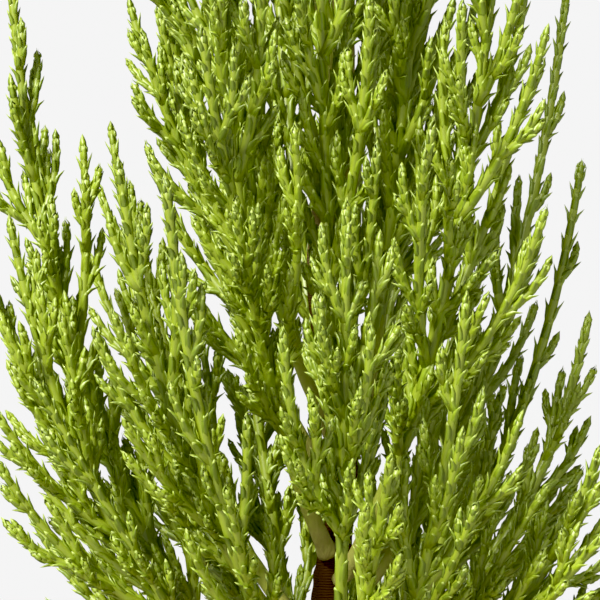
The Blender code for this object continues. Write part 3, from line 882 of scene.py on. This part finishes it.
def limb_surface(centres, radii, sides, dice):
    """A closed tube: at each centre a ring whose radius has ridges along the limb.

    The relief is a sum of sines of the angle, each drifting slowly round the limb as it
    climbs, plus a slower wave along it. Each end is closed by a fan to its centre.
    """
    rows = len(centres)
    along = unit(np.gradient(centres, axis=0))
    across, other = side_frame(along)
    angle = 2 * math.pi * np.arange(sides) / sides
    climb = np.concatenate([[0], np.cumsum(np.linalg.norm(np.diff(centres, axis=0), axis=1))])
    relief = np.zeros((rows, sides))
    for waves, depth in ((3, 0.030), (5, 0.028), (8, 0.022), (11, 0.016)):
        drift = dice.uniform(-60, 60) * climb + dice.uniform(0, 2 * math.pi)
        swell = 1 + 0.5 * np.sin(climb * dice.uniform(200, 420) + dice.uniform(0, 6))
        relief += depth * swell[:, None] * np.sin(waves * angle + drift[:, None])
    relief += 0.02 * np.sin(climb * 1500 + 2 * np.sin(climb * 330))[:, None]
    reach = radii[:, None] * (1 + relief)
    rim = across[:, None] * np.cos(angle)[:, None] + other[:, None] * np.sin(angle)[:, None]
    points = centres[:, None] + rim * reach[..., None]
    points = np.concatenate([points.reshape(-1, 3), centres[:1], centres[-1:]])
    side = np.arange(sides)
    turn = (side + 1) % sides
    foot = np.full(sides, rows * sides)
    top = (rows - 1) * sides
    quads = grid_faces(rows, sides)
    fans = np.concatenate([np.stack([foot, turn, side], axis=-1),
                           np.stack([foot + 1, top + side, top + turn], axis=-1)])
    halves = np.concatenate([quads[:, [0, 1, 2]], quads[:, [0, 2, 3]]])
    return points, np.concatenate([halves, fans])


def add_trunk():
    """The trunk, with a swollen collar at the foot of every bough."""
    dice = np.random.default_rng(3)
    heights = np.linspace(TRUNK_FOOT, TRUNK_TIP, TRUNK_ROWS)
    centres = trunk_centre(heights)
    feet = np.array([place["foot"] for place in PLACES.values()])
    collars = np.exp(-(((heights[:, None] - feet) / 0.0011) ** 2)).sum(axis=1)
    radii = trunk_radius(heights) * (1 + 0.10 * np.minimum(collars, 1))
    points, faces = limb_surface(centres, radii, BARK_SIDES, dice)
    trunk = add_mesh("trunk_bark", points, faces, [BARK])
    add_attribute(trunk, "age", np.interp(points[:, 2], *zip(*TRUNK_AGES)))
    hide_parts("trunk")
    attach(trunk, BODY)
    print("trunk of", len(faces), "triangles")


def add_bough(name, seed):
    """A bough: it swells where it leaves the trunk and tapers to its plume's stem."""
    dice = np.random.default_rng(seed)
    shares = np.linspace(-0.012, BOUGH_SHARE + 0.004, BOUGH_ROWS)
    centres = point_on(LINES[name], shares)
    radii = mix(BOUGH_FOOT_RADIUS, ROOT_RADII[0], np.linspace(0, 1, BOUGH_ROWS))
    radii = radii * (1 + 0.35 * np.exp(-np.linspace(0, 1, BOUGH_ROWS) * 9))
    points, faces = limb_surface(centres, radii, BARK_SIDES // 2, dice)
    bough = add_mesh(f"bark_{name}", points, faces, [BARK])
    along = np.repeat(np.linspace(0, 1, BOUGH_ROWS), BARK_SIDES // 2)
    add_attribute(bough, "age", mix(*BOUGH_AGES, np.concatenate([along, [0, 1]])))
    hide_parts(f"bough_{name}")
    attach(bough, BODY)


add_trunk()
for index, name in enumerate(LINES):
    if name != "leader":
        add_bough(name, 100 + index)

# %% [markdown]
# ## The clay pot
# A plain flower pot is turned: its outline, from the inside floor up over the rim
# and down to the foot, is carried round the axis. The outline's corners are eased
# arcs, and shallow throwing lines and a slight waver keep it from looking machined.
# The clay's colour shifts in clouds, with a chalky bloom that lime in the water leaves.

# %% Pot
POT_RIM_RADIUS = 0.045
POT_BASE_RADIUS = 0.0325
POT_BAND_HEIGHT = 0.015
POT_BAND_STEP = 0.0025
POT_WALL = 0.0040
POT_FLOOR = 0.0050
POT_EDGE = 0.0008
POT_COLUMNS = 160
CLAY_WARM = (0.520, 0.205, 0.095)
CLAY_DEEP = (0.380, 0.130, 0.058)
CLAY_BLOOM = (0.640, 0.420, 0.290)


def pot_radius(height):
    """Outer radius of the tapered wall."""
    top = POT_RIM_RADIUS - POT_BAND_STEP
    return mix(POT_BASE_RADIUS, top, height / POT_HEIGHT)


def eased(corners, reach, steps):
    """The outline with each inner corner replaced by a quadratic curve of that reach."""
    corners = np.array(corners, dtype=float)
    points = [corners[0]]
    for before, corner, after in zip(corners[:-2], corners[1:-1], corners[2:]):
        into = min(reach, 0.45 * np.linalg.norm(corner - before))
        out = min(reach, 0.45 * np.linalg.norm(after - corner))
        start = corner + unit(before - corner) * into
        end = corner + unit(after - corner) * out
        points.extend(point_on((start, corner, end), np.linspace(0, 1, steps)))
    points.append(corners[-1])
    return np.array(points)


def finer(outline, step):
    """The outline with extra points, so that no two lie further apart than the step."""
    spans = np.linalg.norm(np.diff(outline, axis=0), axis=1)
    counts = np.maximum(np.ceil(spans / step).astype(int), 1)
    item, number = spread_counts(counts)
    share = (number / counts[item])[:, None]
    return np.concatenate([mix(outline[:-1][item], outline[1:][item], share), outline[-1:]])


def turned_surface(outline, columns, waver):
    """The outline carried round Z: x = r cos a, y = r sin a, with the radius wavering a little."""
    angle = 2 * math.pi * np.arange(columns) / columns
    radius, height = outline[:, 0], outline[:, 1]
    reach = radius[:, None] + waver(radius[:, None], height[:, None], angle)
    points = np.stack([reach * np.cos(angle), reach * np.sin(angle), height[:, None] + 0 * angle], axis=-1)
    return points.reshape(-1, 3), grid_faces(len(outline), columns)


def closed_turned(outline, columns, waver):
    """A turned surface whose outline starts and ends on the axis, closed by two fans."""
    points, quads = turned_surface(outline[1:-1], columns, waver)
    count = len(points)
    ends = np.array([[0, 0, outline[0, 1]], [0, 0, outline[-1, 1]]])
    side = np.arange(columns)
    turn = (side + 1) % columns
    last = count - columns
    fans = np.concatenate([np.stack([0 * side + count, turn, side], axis=-1),
                           np.stack([0 * side + count + 1, last + side, last + turn], axis=-1)])
    halves = np.concatenate([quads[:, [0, 1, 2]], quads[:, [0, 2, 3]], fans])
    return np.concatenate([points, ends]), halves


def clay_material():
    """Fired clay: two clouded tones, a pale bloom on top and a fine sandy bump."""
    material, nodes, links, shader = new_material("fired_clay", 0.82, 0.25)
    clouds = add_mottle(nodes, links, CLAY_WARM, CLAY_DEEP, 55.0, 0.7)
    place = nodes.new("ShaderNodeTexCoord")
    patches = nodes.new("ShaderNodeTexNoise")
    patches.inputs["Scale"].default_value = 38.0
    patches.inputs["Detail"].default_value = 9.0
    patches.inputs["Roughness"].default_value = 0.68
    links.new(place.outputs["Object"], patches.inputs["Vector"])
    limit = nodes.new("ShaderNodeMapRange")
    limit.inputs["From Min"].default_value = 0.50
    limit.inputs["From Max"].default_value = 0.74
    limit.inputs["To Max"].default_value = 0.6
    links.new(patches.outputs["Fac"], limit.inputs["Value"])
    bloom = nodes.new("ShaderNodeMix")
    bloom.data_type = "RGBA"
    bloom.inputs["B"].default_value = (*CLAY_BLOOM, 1)
    links.new(limit.outputs["Result"], bloom.inputs["Factor"])
    links.new(clouds.outputs["Colour"], bloom.inputs["A"])
    links.new(bloom.outputs["Result"], shader.inputs["Base Color"])
    grit = nodes.new("ShaderNodeTexNoise")
    grit.inputs["Scale"].default_value = 2600.0
    grit.inputs["Detail"].default_value = 3.0
    links.new(place.outputs["Object"], grit.inputs["Vector"])
    bump = nodes.new("ShaderNodeBump")
    bump.inputs["Distance"].default_value = 0.00012
    bump.inputs["Strength"].default_value = 0.6
    links.new(grit.outputs["Fac"], bump.inputs["Height"])
    links.new(bump.outputs["Normal"], shader.inputs["Normal"])
    return material


def add_pot():
    """The pot: inside floor, inside wall, rim, band and foot in one outline."""
    band_foot = POT_HEIGHT - POT_BAND_HEIGHT
    mouth = pot_radius(POT_HEIGHT) - POT_WALL
    corners = [
        (0, POT_FLOOR),
        (pot_radius(POT_FLOOR) - POT_WALL, POT_FLOOR),
        (mouth, POT_HEIGHT),
        (POT_RIM_RADIUS, POT_HEIGHT),
        (POT_RIM_RADIUS - POT_EDGE, band_foot),
        (pot_radius(band_foot), band_foot),
        (POT_BASE_RADIUS, 0),
        (0, 0),
    ]
    outline = finer(eased(corners, 2 * POT_EDGE, 6), 0.0012)[::-1]

    def waver(radius, height, angle):
        """Throwing lines: shallow rings up the wall, and an oval that turns with height."""
        wall = np.clip((radius - 0.02) / 0.01, 0, 1)
        rings = 0.00005 * np.sin(height * 3600 + 1.2 * np.sin(angle))
        oval = 0.00012 * np.sin(2 * angle + 40 * height)
        return wall * (rings + oval - 0.00012)

    points, faces = closed_turned(outline, POT_COLUMNS, waver)
    pot = add_mesh("clay_pot", points, faces, [clay_material()])
    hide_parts("pot")
    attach(pot, BODY)
    print("pot of", len(faces), "triangles")


add_pot()

# %% [markdown]
# ## The soil
# Potting mix is a dark bed of crumbs with lighter bits of bark. Its bed is a disc on a
# polar grid whose height is a crown plus noise from many small bumps. Loose crumbs are
# lumpy eight-sided grains, all made at once from one grain's points.

# %% Soil
SOIL_FLAT_RADIUS = 0.007
SOIL_RINGS = 70
SOIL_COLUMNS = 220
CRUMBS = 1500
CRUMB_SIZES = (0.00035, 0.00125)
SOIL_DARK = (0.030, 0.019, 0.012)
SOIL_BROWN = (0.062, 0.036, 0.020)
CRUMB_COLOURS = (
    ("crumb_dark", (0.022, 0.014, 0.009)),
    ("crumb_brown", (0.070, 0.038, 0.018)),
    ("crumb_bark", (0.150, 0.080, 0.036)),
)


def soil_material(name, colour, other):
    """Damp potting mix: two dark tones and a rough bump."""
    material, nodes, links, shader = new_material(name, 0.9, 0.2)
    tone = add_mottle(nodes, links, colour, other, 900.0, 1.0)
    links.new(tone.outputs["Colour"], shader.inputs["Base Color"])
    bump = nodes.new("ShaderNodeBump")
    bump.inputs["Distance"].default_value = 0.0004
    links.new(tone.outputs["Height"], bump.inputs["Height"])
    links.new(bump.outputs["Normal"], shader.inputs["Normal"])
    return material


def soil_height(radius, angle):
    """The crown towards the trunk, plus bumps: products of sines in x and y."""
    x, y = radius * np.cos(angle), radius * np.sin(angle)
    crown = SOIL_CROWN * np.clip((0.020 - radius) / 0.013, 0, 1)
    bumps = 0.00022 * np.sin(620 * x + 3 * np.sin(410 * y)) * np.sin(570 * y + 2 * np.sin(380 * x))
    bumps += 0.00012 * np.sin(1500 * x + 2 * np.sin(900 * y)) * np.sin(1350 * y + 1.7)
    return SOIL_TOP - 0.0003 + crown + bumps * np.clip((radius - 0.004) / 0.004, 0, 1)


def add_soil():
    """The bed: a polar grid down to the pot's floor, so the piece is closed."""
    top = pot_radius(SOIL_TOP) - POT_WALL - 2 * GAP
    foot = pot_radius(POT_FLOOR) - POT_WALL - 2 * GAP
    radii = np.linspace(0.0005, top, SOIL_RINGS)
    heights = np.zeros_like(radii)
    outline = np.stack([radii, heights], axis=-1)
    outline = np.concatenate([[[0, 0]], outline, [[foot, POT_FLOOR + GAP], [0, POT_FLOOR + GAP]]])[::-1]
    points, faces = closed_turned(outline, SOIL_COLUMNS, lambda radius, height, angle: 0 * angle)
    reach = np.hypot(points[:, 0], points[:, 1])
    bed = points[:, 2] == 0
    points[bed, 2] = soil_height(reach, np.arctan2(points[:, 1], points[:, 0]))[bed]
    soil = add_mesh("potting_soil", points, faces, [soil_material("soil_bed", SOIL_DARK, SOIL_BROWN)])
    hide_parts("soil")
    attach(soil, BODY)
    return top


def add_crumbs(top):
    """Grains of two rings of four points and two poles, squashed and turned at random."""
    dice = np.random.default_rng(11)
    radius = mix(0.0045, top - 0.0012, np.sqrt(dice.random(CRUMBS)))
    angle = dice.uniform(0, 2 * math.pi, CRUMBS)
    size = mix(*CRUMB_SIZES, dice.random(CRUMBS) ** 2.2)
    centre = np.stack([radius * np.cos(angle), radius * np.sin(angle),
                       soil_height(radius, angle) + 0.25 * size], axis=-1)
    ring = math.pi / 2 * np.arange(4)
    grain = np.concatenate([
        [[0, 0, -1]],
        np.stack([0.9 * np.cos(ring), 0.9 * np.sin(ring), 0 * ring - 0.4], axis=-1),
        np.stack([0.9 * np.cos(ring + 0.7), 0.9 * np.sin(ring + 0.7), 0 * ring + 0.4], axis=-1),
        [[0, 0, 1]]])
    near = np.arange(4)
    far = (near + 1) % 4
    faces = np.concatenate([
        np.stack([0 * near, 1 + far, 1 + near], axis=-1),
        np.stack([1 + near, 1 + far, 5 + near], axis=-1),
        np.stack([1 + far, 5 + far, 5 + near], axis=-1),
        np.stack([0 * near + 9, 5 + near, 5 + far], axis=-1)])
    shape = grain * dice.uniform(0.65, 1.15, (CRUMBS, len(grain), 3))
    shape = shape * dice.uniform((0.8, 0.45, 0.35), (1.3, 0.9, 0.7), (CRUMBS, 3))[:, None]
    spin = dice.uniform(0, 2 * math.pi, CRUMBS)[:, None]
    turned = np.stack([shape[..., 0] * np.cos(spin) - shape[..., 1] * np.sin(spin),
                       shape[..., 0] * np.sin(spin) + shape[..., 1] * np.cos(spin), shape[..., 2]], axis=-1)
    points = centre[:, None] + turned * size[:, None, None]
    faces = (np.arange(CRUMBS)[:, None, None] * len(grain) + faces).reshape(-1, 3)
    tones = np.repeat(dice.choice(len(CRUMB_COLOURS), size=CRUMBS, p=(0.5, 0.35, 0.15)), 16)
    materials = [soil_material(name, colour, SOIL_DARK) for name, colour in CRUMB_COLOURS]
    crumbs = add_mesh("soil_crumbs", points.reshape(-1, 3), faces, materials, tones, smooth=False)
    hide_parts("soil")
    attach(crumbs, BODY)
    print(CRUMBS, "crumbs, highest", round(float(points[..., 2].max()) * 1000, 2), "mm")


add_crumbs(add_soil())

# %% [markdown]
# ## The floor
# A wide pale disc under the pot. The level camera sees the crown against the
# backdrop, and the disc shows only in the other views.

# %% Floor
FLOOR_RADIUS = 0.9
FLOOR_SIDES = 96


def add_floor():
    """A flat disc, its rim a circle worked out from one angle."""
    material, nodes, links, shader = new_material("floor", 0.8, 0.2)
    shader.inputs["Base Color"].default_value = (0.80, 0.80, 0.80, 1)
    angle = 2 * math.pi * np.arange(FLOOR_SIDES) / FLOOR_SIDES
    rim = np.stack([np.cos(angle), np.sin(angle), 0 * angle], axis=-1) * FLOOR_RADIUS
    points = np.concatenate([rim, [[0, 0, 0]]])
    side = np.arange(FLOOR_SIDES)
    faces = np.stack([np.full(FLOOR_SIDES, FLOOR_SIDES), side, (side + 1) % FLOOR_SIDES], axis=-1)
    floor = add_mesh("floor", points, faces, [material])
    floor.visible_glossy = False


add_floor()
